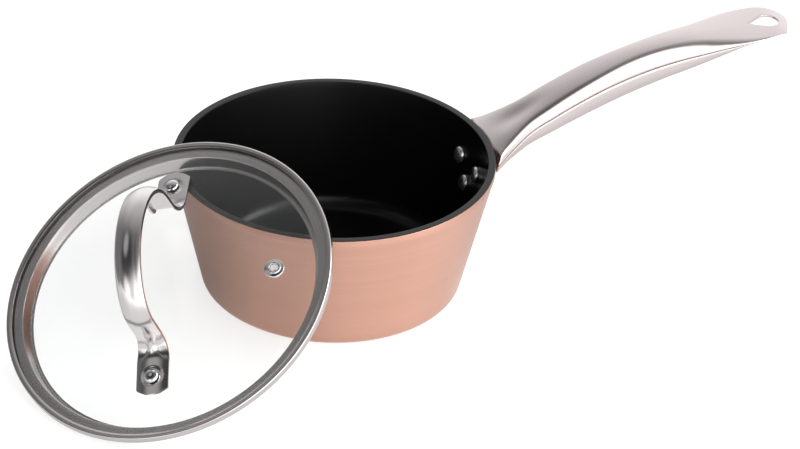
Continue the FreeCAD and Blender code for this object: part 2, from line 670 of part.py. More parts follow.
pan()
lid()
check()
os.makedirs("parts", exist_ok=True)
for part in PARTS:
    part.Shape.exportStep("parts/%s.step" % part.Label)
    box = part.Shape.BoundBox
    print("%-22s solids %d volume %10.1f  x %7.1f..%7.1f y %7.1f..%7.1f z %6.1f..%6.1f" % (
        part.Label, len(part.Shape.Solids), part.Shape.Volume,
        box.XMin, box.XMax, box.YMin, box.YMax, box.ZMin, box.ZMax))
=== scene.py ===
import bmesh
import bpy
import math
import numpy as np
from mathutils import Matrix, Vector


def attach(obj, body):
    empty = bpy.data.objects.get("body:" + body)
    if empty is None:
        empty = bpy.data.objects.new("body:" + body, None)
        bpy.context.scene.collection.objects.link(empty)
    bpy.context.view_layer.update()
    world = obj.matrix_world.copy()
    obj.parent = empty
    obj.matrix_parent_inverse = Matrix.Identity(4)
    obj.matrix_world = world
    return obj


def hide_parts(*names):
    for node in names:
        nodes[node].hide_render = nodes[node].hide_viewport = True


# Saucepan with a loose glass lid. Shapes are worked out in millimetres and stored in metres.
# +Z up, origin under the middle of the pan, long handle along +X.

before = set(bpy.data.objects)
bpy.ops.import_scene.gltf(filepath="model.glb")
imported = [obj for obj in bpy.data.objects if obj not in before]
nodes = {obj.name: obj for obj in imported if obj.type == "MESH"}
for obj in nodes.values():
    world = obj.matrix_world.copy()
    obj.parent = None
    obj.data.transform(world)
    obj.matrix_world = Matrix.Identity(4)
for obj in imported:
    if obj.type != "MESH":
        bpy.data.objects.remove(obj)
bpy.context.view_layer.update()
MM = 0.001
TURN = 2 * math.pi
WELD = 2e-7


# ---------------------------------------------------------------- meshes


def cells_of(grid):
    """Four-sided faces of a grid of points, numbered row by row."""
    rows, columns = grid.shape[:2]
    corner = np.arange(rows * columns).reshape(rows, columns)
    sides = corner[:-1, :-1], corner[1:, :-1], corner[1:, 1:], corner[:-1, 1:]
    return np.stack(sides, -1).reshape(-1, 4)


def raw_mesh(name, points, faces):
    """A mesh in metres from points in mm."""
    mesh = bpy.data.meshes.new(name)
    mesh.from_pydata((points * MM).tolist(), [], faces.tolist())
    return mesh


def stand(name, data):
    """A new object at the origin of the scene."""
    thing = bpy.data.objects.new(name, data)
    bpy.context.scene.collection.objects.link(thing)
    return thing


def weld(mesh, reach, sliver):
    """Join points closer than reach, take out slivers and loose edges, and turn round a closed mesh
    that is inside out."""
    form = bmesh.new()
    form.from_mesh(mesh)
    bmesh.ops.remove_doubles(form, verts=form.verts, dist=reach)
    bmesh.ops.dissolve_degenerate(form, edges=form.edges, dist=sliver)
    bmesh.ops.delete(form, geom=[edge for edge in form.edges if edge.is_wire], context="EDGES")
    if form.calc_volume(signed=True) < 0 and not any(edge.is_boundary for edge in form.edges):
        bmesh.ops.reverse_faces(form, faces=form.faces)
    form.to_mesh(mesh)
    form.free()


def skin(name, sheets, body, instead_of, finish, crease=38.0):
    """One piece from sheets of points. A sheet is (points, coords): points is rows x columns x 3 in
    mm, coords the same grid of (u, v) in mm. Coincident points are welded, so seams and poles
    close."""
    points, coords, faces, start = [], [], [], 0
    for grid, uv in sheets:
        faces.append(start + cells_of(grid))
        points.append(grid.reshape(-1, 3))
        coords.append(uv.reshape(-1, 2))
        start += len(points[-1])
    points, coords, faces = (np.concatenate(parts) for parts in (points, coords, faces))
    mesh = raw_mesh(name, points, faces)
    layer = mesh.uv_layers.new(name="Lay")
    layer.data.foreach_set("uv", (coords[faces.ravel()] * MM).ravel())
    weld(mesh, WELD, WELD / 20)
    mesh.shade_smooth()
    mesh.set_sharp_from_angle(angle=math.radians(crease))
    mesh.materials.append(finish)
    piece = stand(name, mesh)
    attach(piece, body)
    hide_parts(*instead_of)
    return piece


def rounded(corners, radii, steps):
    """Closed outline with every corner turned into an arc that touches both its sides."""
    corners = np.array(corners, float)
    neighbours = np.roll(corners, 1, 0), np.roll(corners, -1, 0)
    out = []
    for here, before, after, radius in zip(corners, *neighbours, radii):
        back, on = before - here, after - here
        reach = min(np.hypot(*back), np.hypot(*on)) * 0.499
        back, on = back / np.hypot(*back), on / np.hypot(*on)
        half = math.acos(np.clip(back @ on, -1, 1)) / 2
        if radius <= 0 or abs(half - math.pi / 2) < 1e-3:
            out.append(here[None])
            continue
        leg = min(radius / math.tan(half), reach)
        radius = leg * math.tan(half)
        centre = here + (back + on) / np.hypot(*(back + on)) * radius / math.sin(half)
        first, last = here + back * leg - centre, here + on * leg - centre
        a0, a1 = math.atan2(first[1], first[0]), math.atan2(last[1], last[0])
        sweep = (a1 - a0 + math.pi) % TURN - math.pi
        angle = a0 + sweep * np.linspace(0, 1, steps)
        out.append(centre + radius * np.stack([np.cos(angle), np.sin(angle)], 1))
    return np.concatenate(out)


def filled(outline, longest):
    """The same closed outline with its long sides divided: no step is over the given length."""
    closed = np.concatenate([outline, outline[:1]])
    parts = []
    for a, b in zip(closed[:-1], closed[1:]):
        count = max(1, int(math.ceil(np.hypot(*(b - a)) / longest)))
        parts.append(a + (b - a) * (np.arange(count) / count)[:, None])
    return np.concatenate(parts + [closed[:1]])


def lengths(line):
    """Distance along a line of points, from its start to each point."""
    return np.concatenate([[0], np.cumsum(np.hypot(*np.diff(line, axis=0).T))])


def turned_sheet(outline, around, place=None):
    """Surface of revolution: the (radius, height) outline carried once round the axis."""
    angle = np.linspace(0, TURN, around + 1)
    radius, height = outline[:, 0], outline[:, 1]
    grid = np.stack([np.outer(np.cos(angle), radius), np.outer(np.sin(angle), radius),
                     np.outer(np.ones_like(angle), height)], -1)
    grid[-1] = grid[0]
    spread = max(radius.max(), 1.0)
    uv = np.stack(np.broadcast_arrays(angle[:, None] * spread, lengths(outline)[None, :]), -1)
    return (grid if place is None else placed(grid, place)), uv


def placed(points, place):
    """Points moved by a frame: origin + x X + y Y + z Z."""
    origin, axes = place
    return points @ axes + origin


def through(knots, values, at):
    """Smooth curve through values at the knots: cubic pieces with the local differences as
    slopes."""
    knots, values = np.asarray(knots, float), np.asarray(values, float)
    slope = np.gradient(values, knots)
    i = np.clip(np.searchsorted(knots, at) - 1, 0, len(knots) - 2)
    step = knots[i + 1] - knots[i]
    t = (at - knots[i]) / step
    return (values[i] * (1 + 2 * t) * (1 - t) ** 2 + slope[i] * step * t * (1 - t) ** 2
            + values[i + 1] * t * t * (3 - 2 * t) + slope[i + 1] * step * t * t * (t - 1))


def ease(low, high, at):
    """0 below low, 1 above high, with a smooth S between."""
    t = np.clip((at - low) / (high - low), 0, 1)
    return t * t * (3 - 2 * t)


# ---------------------------------------------------------------- finishes


class Finish:
    """A material on Blender's main shader, with a few helpers to lay patterns on it."""

    def __init__(self, name, colour, metal, rough, **sockets):
        self.mat = bpy.data.materials.new(name)
        self.mat.use_nodes = True
        self.tree = self.mat.node_tree
        self.shader = self.tree.nodes["Principled BSDF"]
        self.set("Base Color", (*colour, 1.0))
        self.set("Metallic", metal)
        self.set("Roughness", rough)
        for key, value in sockets.items():
            self.set(key.replace("_", " "), value)

    def set(self, socket, value):
        self.shader.inputs[socket].default_value = value

    def add(self, kind, inputs=None, **settings):
        node = self.tree.nodes.new(kind)
        for key, value in settings.items():
            setattr(node, key, value)
        for key, value in (inputs or {}).items():
            if isinstance(value, bpy.types.NodeSocket):
                self.tree.links.new(value, node.inputs[key])
            else:
                node.inputs[key].default_value = value
        return node

    def link(self, source, socket):
        self.tree.links.new(source, self.shader.inputs[socket])

    def where(self, scale, own_map=False):
        """Object coordinates, or the piece's own map, stretched by scale."""
        if own_map:
            source = self.add("ShaderNodeUVMap", uv_map="Lay").outputs["UV"]
        else:
            source = self.add("ShaderNodeTexCoord").outputs["Object"]
        return self.add("ShaderNodeMapping", {"Vector": source, "Scale": scale}).outputs["Vector"]

    def noise(self, vector, scale=1.0, detail=4.0, rough=0.5):
        return self.add("ShaderNodeTexNoise", {"Vector": vector, "Scale": scale, "Detail": detail,
                                               "Roughness": rough}).outputs["Fac"]

    def ramp(self, value, *stops):
        node = self.add("ShaderNodeValToRGB", {"Fac": value})
        ramp = node.color_ramp
        while len(ramp.elements) < len(stops):
            ramp.elements.new(0.5)
        for element, (at, tone) in zip(ramp.elements, stops):
            element.position = at
            element.color = (*tone, 1.0) if isinstance(tone, tuple) else (tone, tone, tone, 1.0)
        return node.outputs["Color"]

    def span(self, value, low, high):
        """A value from 0..1 spread over low..high."""
        ends = {"Value": value, "To Min": low, "To Max": high}
        return self.add("ShaderNodeMapRange", ends).outputs["Result"]

    def maths(self, operation, a, b):
        return self.add("ShaderNodeMath", {0: a, 1: b}, operation=operation).outputs["Value"]

    def shares(self, first, share, second):
        """A share of the first value and the rest of the second."""
        return self.maths("ADD", self.maths("MULTIPLY", first, share),
                          self.maths("MULTIPLY", second, 1 - share))

    def mixed(self, amount, a, b):
        node = self.add("ShaderNodeMix", data_type="RGBA")
        for index, value in ((0, amount), (6, a), (7, b)):
            if isinstance(value, bpy.types.NodeSocket):
                self.tree.links.new(value, node.inputs[index])
            else:
                node.inputs[index].default_value = value if index == 0 else (*value, 1.0)
        return node.outputs[2]

    def bump(self, height, depth_mm, strength=1.0):
        node = self.add("ShaderNodeBump", {"Height": height, "Distance": depth_mm * MM,
                                           "Strength": strength})
        self.link(node.outputs["Normal"], "Normal")


def brushed(name, colour, rough, streaks, own_map=False, depth=0.004, shade=0.10):
    """Satin metal: fine parallel scratches along one direction, with slow changes of tone and a few
    deeper lines."""
    f = Finish(name, colour, 1.0, rough)
    fine = f.noise(f.where(streaks, own_map), 1.0, 5.0, 0.65)
    broad = f.noise(f.where(tuple(0.13 * s for s in streaks), own_map), 1.0, 3.0, 0.5)
    slow = f.noise(f.where((14, 14, 14)), 1.0, 2.0)
    both = f.shares(fine, 0.65, broad)
    dark, light = (tuple(c * k for c in colour) for k in (1 - shade, 1 + shade * 0.6))
    tone = f.mixed(f.ramp(both, (0.32, 0.0), (0.68, 1.0)), dark, light)
    f.link(f.mixed(f.span(slow, 0.0, 0.35), tone, tuple(c * 0.93 for c in colour)), "Base Color")
    f.link(f.span(both, rough * 0.72, rough * 1.3), "Roughness")
    f.bump(both, depth)
    return f.mat


def polished(name, colour, rough, marks=60.0):
    """Mirror-bright metal with faint wipe marks and small unevenness."""
    f = Finish(name, colour, 1.0, rough)
    wipe = f.noise(f.where((marks, marks * 2.3, marks)), 1.0, 5.0, 0.6)
    f.link(f.span(wipe, rough * 0.5, rough * 1.6), "Roughness")
    dull = tuple(c * 0.95 for c in colour)
    f.link(f.mixed(f.ramp(wipe, (0.3, 0.0), (0.7, 1.0)), dull, colour), "Base Color")
    f.bump(f.noise(f.where((260, 260, 260)), 1.0, 3.0), 0.003)
    return f.mat


def copper_tone():
    """Pinkish copper layer under a thin clear coat, satin brushed round the wall, a shade deeper in
    the brush lines."""
    f = Finish("copper_satin", (0.64, 0.36, 0.27), 1.0, 0.46, Coat_Weight=0.8, Coat_Roughness=0.34,
               Anisotropic=0.85, Anisotropic_Rotation=0.25)
    fine = f.noise(f.where((5, 5, 3600)), 1.0, 4.0, 0.6)
    broad = f.noise(f.where((3, 3, 260)), 1.0, 3.0)
    cloud = f.noise(f.where((16, 16, 24)), 1.0, 3.0)
    both = f.shares(fine, 0.6, broad)
    lines = f.ramp(both, (0.3, 0.0), (0.7, 1.0))
    tone = f.mixed(lines, (0.585, 0.315, 0.232), (0.665, 0.38, 0.29))
    f.link(f.mixed(f.span(cloud, 0.0, 0.3), tone, (0.60, 0.325, 0.24)), "Base Color")
    f.link(f.span(both, 0.40, 0.54), "Roughness")
    f.bump(both, 0.002)
    around = f.add("ShaderNodeTangent", direction_type="UV_MAP", uv_map="Lay")
    f.link(around.outputs["Tangent"], "Tangent")
    return f.mat


def nonstick():
    """Black sprayed coating: soft sheen, fine specks of tone, an even orange peel, swirl marks."""
    f = Finish("black_nonstick", (0.004, 0.004, 0.004), 0.0, 0.34, Specular_IOR_Level=0.26)
    pebble = f.noise(f.where((2600, 2600, 2600)), 1.0, 2.0)
    swirl = f.noise(f.where((90, 90, 700)), 1.0, 4.0)
    specks = (0.35, (0.0018, 0.0018, 0.0018)), (0.75, (0.0036, 0.0036, 0.0038))
    f.link(f.ramp(pebble, *specks), "Base Color")
    f.link(f.span(swirl, 0.265, 0.295), "Roughness")
    f.bump(f.noise(f.where((650, 650, 650)), 1.0, 2.0), 0.006, 0.5)
    return f.mat


def glass():
    """Clear tempered glass with a trace of grey. Lamps shine through it."""
    f = Finish("tempered_glass", (0.965, 0.98, 0.975), 0.0, 0.0, Transmission_Weight=1.0, IOR=1.46)
    smear = f.noise(f.where((22, 60, 22)), 1.0, 4.0)
    f.link(f.span(smear, 0.0, 0.02), "Roughness")
    greys = (0.3, (0.955, 0.972, 0.968)), (0.7, (0.975, 0.985, 0.98))
    f.link(f.ramp(smear, *greys), "Base Color")
    rays = f.add("ShaderNodeLightPath")
    clear = f.add("ShaderNodeBsdfTransparent", {"Color": (0.93, 0.94, 0.94, 1.0)})
    both = f.add("ShaderNodeMixShader", {0: rays.outputs["Is Shadow Ray"],
                                         1: f.shader.outputs["BSDF"], 2: clear.outputs["BSDF"]})
    f.tree.links.new(both.outputs["Shader"], f.tree.nodes["Material Output"].inputs["Surface"])
    return f.mat


def silicone():
    """Clear soft washer, slightly milky."""
    f = Finish("clear_silicone", (0.86, 0.87, 0.88), 0.0, 0.25, Transmission_Weight=0.75, IOR=1.42)
    cloud = f.noise(f.where((500, 500, 500)), 1.0, 3.0)
    f.link(f.ramp(cloud, (0.3, (0.80, 0.81, 0.83)), (0.7, (0.92, 0.93, 0.94))), "Base Color")
    f.link(f.span(cloud, 0.18, 0.36), "Roughness")
    return f.mat


COPPER = copper_tone()
BLACK = nonstick()
GLASS = glass()
SILICONE = silicone()
HANDLE_TOP = brushed("handle_satin", (0.67, 0.605, 0.60), 0.27, (16, 4200, 1), True, 0.001, 0.05)
HANDLE_BELLY = brushed("belly_satin", (0.70, 0.63, 0.62), 0.32, (14, 3600, 1), True, 0.001, 0.06)
STRAP = brushed("strap_satin", (0.68, 0.65, 0.65), 0.17, (10, 5000, 1), True, 0.001, 0.05)
BAND = brushed("band_spun", (0.62, 0.585, 0.58), 0.20, (2, 1700, 1), True, 0.0003, 0.14)
DISC = brushed("disc_turned", (0.50, 0.49, 0.49), 0.34, (900, 900, 900), depth=0.006)
STEEL = brushed("flange_satin", (0.58, 0.56, 0.55), 0.33, (300, 300, 900))
MIRROR = polished("polished_steel", (0.66, 0.66, 0.675), 0.07)
RIVET = polished("rivet_polish", (0.86, 0.86, 0.87), 0.27, 90.0)


# ---------------------------------------------------------------- pan

PAN_HEIGHT, RIM, BORE, FOOT = 73.0, 83.8, 80.0, 67.0
BAND_DEPTH, BAND_STEP = 4.0, 0.35
BAND_FOOT = PAN_HEIGHT - BAND_DEPTH
FLOOR_TOP, BORE_FOOT = 5.0, 63.6
COAT_GAUGE, COAT_OVER, COAT_INSET, COAT_CLEAR = 0.4, 0.22, 0.06, 0.02
BARE_TOP = PAN_HEIGHT - COAT_OVER
RECESS_RADIUS, RECESS_DEPTH = 57.1, 0.9
WALL_STEPS = 256


def outer_wall(height):
    """Radius of the copper wall under the rim band: a straight cone."""
    return FOOT + (RIM - BAND_STEP - FOOT) * height / BAND_FOOT


def inner_wall(height):
    """Radius of the coated inside: a straight cone to the bore."""
    return BORE_FOOT + (BORE - BORE_FOOT) * height / PAN_HEIGHT


coat_back = inner_wall(BARE_TOP) + COAT_GAUGE
coat_under = [(inner_wall(FLOOR_TOP) + COAT_GAUGE, FLOOR_TOP - COAT_GAUGE),
              (0, FLOOR_TOP - COAT_GAUGE)]
body_outline = rounded(
    [(0, RECESS_DEPTH), (RECESS_RADIUS, RECESS_DEPTH), (RECESS_RADIUS, 0.0), (outer_wall(0), 0),
     (outer_wall(BAND_FOOT), BAND_FOOT), (RIM, BAND_FOOT + 0.5), (RIM, BARE_TOP),
     (coat_back, BARE_TOP)] + coat_under,
    [0, 0, 0.1, 9.0, 0.25, 0.25, 0.45, 0.1, 9.8, 0], 9)
skin("pan_wall", [turned_sheet(filled(body_outline, 4.0), WALL_STEPS)],
     "pan", ["pan_body"], COPPER)

coat_foot = BARE_TOP - COAT_CLEAR
coat_outline = rounded(
    [(0, FLOOR_TOP), (inner_wall(FLOOR_TOP), FLOOR_TOP), (BORE, PAN_HEIGHT),
     (RIM - COAT_INSET, PAN_HEIGHT), (RIM - COAT_INSET, coat_foot),
     (coat_back, coat_foot)] + coat_under,
    [0, 9.6, 0.55, 0.4, 0.05, 0.1, 9.8, 0], 12)
skin("nonstick_coat", [turned_sheet(filled(coat_outline, 3.0), WALL_STEPS)],
     "pan", ["nonstick_lining"], BLACK)


def rivet_frame(azimuth, height):
    """Origin on the inner wall at that height, Z straight into the pan, level."""
    a = math.radians(azimuth)
    inward = np.array([-math.cos(a), -math.sin(a), 0.0])
    slope = math.atan2(BORE - BORE_FOOT, PAN_HEIGHT)
    across = np.array([-math.sin(a), math.cos(a), 0.0])
    normal = inward * math.cos(slope) + np.array([0, 0, math.sin(slope)])
    up = np.cross(normal, across)
    origin = -inward * inner_wall(height) + np.array([0, 0, height])
    return origin, np.array([across, up, normal])


def domed(radius, rise, foot, full=1.0):
    """Outline of a domed head: upright foot, then a quarter of a rounded ellipse up to the axis;
    full below 1 makes the shoulder squarer."""
    angle = np.linspace(0, math.pi / 2, 18)
    return np.stack([radius * np.cos(angle) ** full,
                     foot + (rise - foot) * np.sin(angle) ** full], 1)


# name, azimuth in degrees, drop below the rim
RIVETS = (("rivet_upper_left", 8.5, 17.7), ("rivet_upper_right", -8.5, 17.7),
          ("rivet_lower", 0.0, 28.3))
RIVET_HEAD, RIVET_RISE, RIVET_SHANK, RIVET_TAIL = 4.5, 2.45, 2.5, 3.8
rivet_outline = np.concatenate([
    [[0, -7.4], [2.2, -7.4], [3.4, -6.9], [RIVET_TAIL, -6.2], [RIVET_TAIL, -5.9],
     [RIVET_SHANK, -5.9], [RIVET_SHANK, -0.1], [RIVET_HEAD - 0.2, -0.1]],
    domed(RIVET_HEAD, RIVET_RISE, 0.4, full=0.8)])
for name, azimuth, drop in RIVETS:
    seat = rivet_frame(azimuth, PAN_HEIGHT - drop)
    skin(name + "_stud", [turned_sheet(rivet_outline, 48, seat)],
         "pan", [name], RIVET)

# ---------------------------------------------------------------- long handle

TIP, LIFT, CREST = 255.4, 40.9, 0.69
WAIST, ROOT, PADDLE = 16.6, 47.0, 34.6
LENGTH = TIP - RIM
TOP_GAUGE, BELLY_GAUGE, EDGE_BREAK = 1.2, 0.9, 0.07
CROWN_END, SHOULDER_END = 0.5, 0.8
BEVEL_LEAN, SEAM_GAP, SEAM_LEDGE = 0.2, 0.05, 0.75
BELLY_FULL, BELLY_SHORT = 0.72, 0.35
TIP_FALL, TIP_FALL_FROM = 1.8, 0.93
DISH_DEPTH, DISH_AT, DISH_REACH = 1.9, 0.095, 0.075
FLANGE_GAP, RIM_GAP, CORNER_GAP = 2.3, 0.2, 3.2
# along, root flare, paddle flare, then in mm seam drop, belly depth, crown, shoulder rounding
STATIONS = np.array([
    (-0.050, 1.18, 0.00, 3.0, 12.4, 3.6, 2.2),
    (0.004, 0.88, 0.00, 3.4, 13.6, 3.1, 2.3),
    (0.028, 0.69, 0.00, 4.1, 14.9, 2.8, 2.5),
    (0.065, 0.48, 0.00, 4.9, 16.5, 2.3, 2.8),
    (0.118, 0.26, 0.00, 5.6, 18.1, 1.6, 3.0),
    (0.200, 0.18, 0.00, 6.5, 20.3, 1.3, 3.2),
    (0.330, 0.10, 0.00, 7.7, 22.1, 0.9, 3.2),
    (0.487, 0.00, 0.00, 9.0, 22.3, 0.8, 3.2),
    (0.573, 0.00, 0.07, 8.5, 20.7, 0.8, 3.2),
    (0.660, 0.00, 0.30, 6.7, 17.4, 0.9, 3.9),
    (0.746, 0.00, 0.71, 3.4, 10.9, 0.8, 4.6),
    (0.825, 0.00, 0.99, 1.3, 4.2, 0.6, 3.6),
    (0.890, 0.00, 1.00, 0.9, 1.9, 0.4, 1.6),
    (0.940, 0.00, 0.90, 0.9, 1.9, 0.2, 0.5),
    (1.000, 0.00, 0.78, 0.9, 1.9, 0.2, 0.5)])
HOLE_POINT, HOLE_CENTRE, HOLE_RADIUS = 231.6, 243.4, 6.1
HOLE_BACK, BELLY_HOLE = 1.9, 1.3
# tip outline: x of the end against y
TIP_Y = (-20.0, -17.2, -16.4, -11.7, -6.4, -3.6, 0.0, 3.0, 6.4, 9.6, 12.4, 14.2, 15.4, 20.0)
TIP_X = (245.0, 245.6, 246.6, 249.2, 252.3, 253.7, 254.9,
         255.3, 255.0, 253.4, 250.6, 247.2, 243.0, 232.0)


def hole_edge(x, wider=0.0):
    """Half width of the hanging hole at x: a circle's arc, then two straight sides to the point."""
    radius = HOLE_RADIUS + wider
    point = HOLE_POINT - HOLE_BACK * wider
    reach = HOLE_CENTRE - point
    touch = HOLE_CENTRE - radius ** 2 / reach
    slope = radius / math.sqrt(reach ** 2 - radius ** 2)
    arc = np.sqrt(np.clip(radius ** 2 - (x - HOLE_CENTRE) ** 2, 0, None))
    return np.where(x < touch, np.clip((x - point) * slope, 0, None), arc)


def handle_sizes(along):
    """Sizes at one place of the handle, along from 0 at the rim to 1 at the tip. The spine rises as
    a quarter of a sine wave up to the crest and then runs level."""
    root, paddle, seam, belly, crown, shoulder = (through(STATIONS[:, 0], STATIONS[:, k], along)
                                                  for k in range(1, 7))
    half = (WAIST + root * (ROOT - WAIST) + paddle * (PADDLE - WAIST)) / 2
    fall = np.clip((along - TIP_FALL_FROM) / (1 - TIP_FALL_FROM), 0, None)
    climb = np.sin(math.pi / 2 * np.clip(along / CREST, None, 1))
    height = PAN_HEIGHT + LIFT * climb - TIP_FALL * fall ** 2
    edge = half + BEVEL_LEAN * seam
    return half, height, edge, seam, np.maximum(belly, crown + seam + 0.8), crown, shoulder


def top_point(along, t):
    """Upper pressing at a share t of its half section: up to CROWN_END over the crown, a parabola,
    then round the shoulder to SHOULDER_END, a three-point curve, then straight down the bevel.
    Returns y and z for the right half."""
    half, height, edge, seam, belly, crown, shoulder = handle_sizes(along)
    turn = half - shoulder

    def crown_at(y):
        return -crown * (y / half) ** 2

    slope = -2 * crown * turn / half ** 2
    knee_z = crown_at(turn) + slope * shoulder
    down = np.hypot(edge - half, seam + crown + knee_z)
    leg = np.minimum(shoulder, 0.8 * down)
    aim_y, aim_z = (edge - half) / down, -(seam + crown + knee_z) / down
    over = turn * np.clip(t / CROWN_END, 0, 1)
    bend = np.clip((t - CROWN_END) / (SHOULDER_END - CROWN_END), 0, 1)
    fall = np.clip((t - SHOULDER_END) / (1 - SHOULDER_END), 0, 1)
    y2, z2 = half + leg * aim_y, knee_z + leg * aim_z
    first, middle, last = (1 - bend) ** 2, 2 * bend * (1 - bend), bend ** 2
    y = np.where(t <= CROWN_END, over, first * turn + middle * half + last * y2)
    z = np.where(t <= CROWN_END, crown_at(over),
                 first * crown_at(turn) + middle * knee_z + last * z2)
    y = np.where(t > SHOULDER_END, y2 + (edge - y2) * fall, y)
    z = np.where(t > SHOULDER_END, z2 + (-crown - seam - z2) * fall, z)
    dish = np.exp(-((along - DISH_AT) / DISH_REACH) ** 2) * np.exp(-(y / (0.5 * half)) ** 2)
    return y, height + z - DISH_DEPTH * dish, half


def belly_point(along, t):
    """Lower pressing, from the seam (t = 0) round the flank to the middle of the keel (t = 1): a
    quarter of a rounded ellipse. It stands a ledge proud of the upper one where the seam drops."""
    half, height, edge, seam, belly, crown, shoulder = handle_sizes(along)
    start = crown + seam + SEAM_GAP
    angle = math.pi / 2 * t
    y = (edge + SEAM_LEDGE * ease(0.6, 2.4, seam)) * np.cos(angle) ** BELLY_FULL
    z = -start - (belly - start) * np.sin(angle) ** BELLY_FULL
    return y, height + z, half


def root_x(y, z):
    """x where the handle ends at the wall: close to the rim band in the middle, further off where
    the flange stands between them and at the two corners."""
    low = FLANGE_GAP - (FLANGE_GAP - RIM_GAP) * ease(63.0, 68.5, z)
    gap = np.maximum(low, RIM_GAP + CORNER_GAP * ease(11.0, 22.0, np.abs(y)))
    wall = outer_wall(np.minimum(z, 68.6)) + BAND_STEP * ease(67.6, 68.6, z)
    return np.sqrt(np.clip((wall + gap) ** 2 - y ** 2, 1, None))


def handle_sheet(point, t, side, rows):
    """Half of a pressing. Rows run from the wall to the tip, columns across from the middle to the
    seam. Each column starts on the wall's cone and ends on the tip's outline. Where the hanging
    hole is, the middle column moves out to its edge, and the others follow by their share."""
    short, wider = (0.0, 0.0) if point is top_point else (BELLY_SHORT, BELLY_HOLE)
    t = np.asarray(t)[None, :]
    start, end = np.full(t.shape, 0.0), np.full(t.shape, 0.98)
    for _ in range(12):
        y, z, half = point(start, t)
        start = (root_x(y, z) - RIM) / LENGTH
        y, z, half = point(end, t)
        end = (np.interp(side * y, TIP_Y, TIP_X) - short - RIM) / LENGTH
    along = start + (end - start) * rows[:, None]
    y, z, half = point(along, t)
    x = RIM + along * LENGTH
    hole = hole_edge(x, wider)
    y = hole + y * (1 - hole / np.maximum(half, hole + 0.1))
    return x, side * y, z


def handle_rows(first):
    """Shares of the middle column's length from its first x, close together round the hole and at
    both ends."""
    last = TIP_X[TIP_Y.index(0.0)]
    reach = HOLE_CENTRE + HOLE_RADIUS
    even = np.linspace(0, 1, 34)
    curve = 0.35 * even + 0.65 * np.sin(even * math.pi / 2)

    def share(x):
        return (x - first) / (last - first)

    return np.concatenate([np.linspace(0, share(HOLE_POINT), 150)[:-1],
                           share(HOLE_POINT + (reach - HOLE_POINT) * curve),
                           np.linspace(share(reach), 1, 12)[1:]])


def mapped(x, y, z):
    """Grid of points with its own map: u along the handle, v across the section."""
    grid = np.stack([x, y, z], -1)
    steps = np.linalg.norm(np.diff(grid, axis=1), axis=-1)
    across = np.concatenate([np.zeros((len(x), 1)), np.cumsum(steps, 1)], 1)
    return grid, np.stack([x, across * np.where(y[:, -1:] < 0, -1, 1)], -1)


ROWS = handle_rows(float(root_x(np.array(0.0), np.array(74.0))))
TOP_T = np.concatenate([np.linspace(0, CROWN_END, 16), np.linspace(CROWN_END, SHOULDER_END, 11)[1:],
                        np.linspace(SHOULDER_END, 1.0, 6)[1:]])
BELLY_T = np.linspace(0, 1, 30)


def pressing(name, point, t, gauge, instead_of, finish):
    """Both halves of a pressing as one skin, thickened inwards, with its edges broken. The upper
    one gets a skirt at the tip, down to the seam."""
    sheets = []
    for side in (1, -1):
        x, y, z = handle_sheet(point, t, side, ROWS)
        if point is top_point:
            tip, seam = z[-1], np.minimum(z[-1, -1], z[-1])
            for share in np.linspace(0, 1, 5)[1:]:
                x, y = np.concatenate([x, x[-1:]]), np.concatenate([y, y[-1:]])
                z = np.concatenate([z, (tip * (1 - share) + seam * share)[None]])
        sheet, uv = mapped(x, y, z)
        if side < 0:
            sheet, uv = sheet[:, ::-1], uv[:, ::-1]
        sheets.append((sheet, uv))
    piece = skin(name, sheets, "pan", instead_of, finish)
    wall = piece.modifiers.new("gauge", "SOLIDIFY")
    wall.thickness = gauge * MM
    wall.offset = -1
    wall.use_even_offset = False
    soft = piece.modifiers.new("broken_edges", "BEVEL")
    soft.width = EDGE_BREAK * MM
    soft.segments = 1
    soft.limit_method = "ANGLE"
    soft.angle_limit = math.radians(55)
    soft.harden_normals = False


pressing("handle_upper", top_point, TOP_T, TOP_GAUGE, ["handle_top_shell"],
         HANDLE_TOP)
pressing("handle_belly", belly_point, BELLY_T, BELLY_GAUGE,
         ["handle_belly_shell"], HANDLE_BELLY)

# ---------------------------------------------------------------- lid

LEAN, AZIMUTH, SPIN = (math.radians(v) for v in (32.05, -151.6, 33.1))
LID_CENTRE = np.array([-111.09, -60.07, 50.50])
level = np.array([-math.sin(AZIMUTH), math.cos(AZIMUTH), 0.0])
LID_Z = np.array([math.sin(LEAN) * math.cos(AZIMUTH), math.sin(LEAN) * math.sin(AZIMUTH),
                  math.cos(LEAN)])
uphill = np.cross(LID_Z, level)
LID_X = math.cos(SPIN) * level + math.sin(SPIN) * uphill
LID_Y = -math.sin(SPIN) * level + math.cos(SPIN) * uphill
LID = (LID_CENTRE, np.array([LID_X, LID_Y, LID_Z]))

LID_RADIUS, GLASS_RADIUS, GLASS_GAUGE = 87.5, 86.8, 3.0
DOME_RADIUS, DOME_TOP, DOME_FLAT, DOME_EDGE = 347.7, 9.5, 83.4, -0.65


def dome(radius):
    """Height of the glass's upper face over the lid's edge: a cap of a sphere."""
    return DOME_TOP - DOME_RADIUS + np.sqrt(DOME_RADIUS ** 2 - radius ** 2)


out = np.linspace(0, DOME_FLAT, 60)
pane_outline = np.concatenate([
    np.stack([out, dome(out)], 1),
    [(GLASS_RADIUS, DOME_EDGE), (GLASS_RADIUS, DOME_EDGE - GLASS_GAUGE)],
    np.stack([out, dome(out) - GLASS_GAUGE], 1)[::-1]])
pane = skin("glass_pane", [turned_sheet(pane_outline, WALL_STEPS, LID)],
            "lid", ["lid_glass"], GLASS)

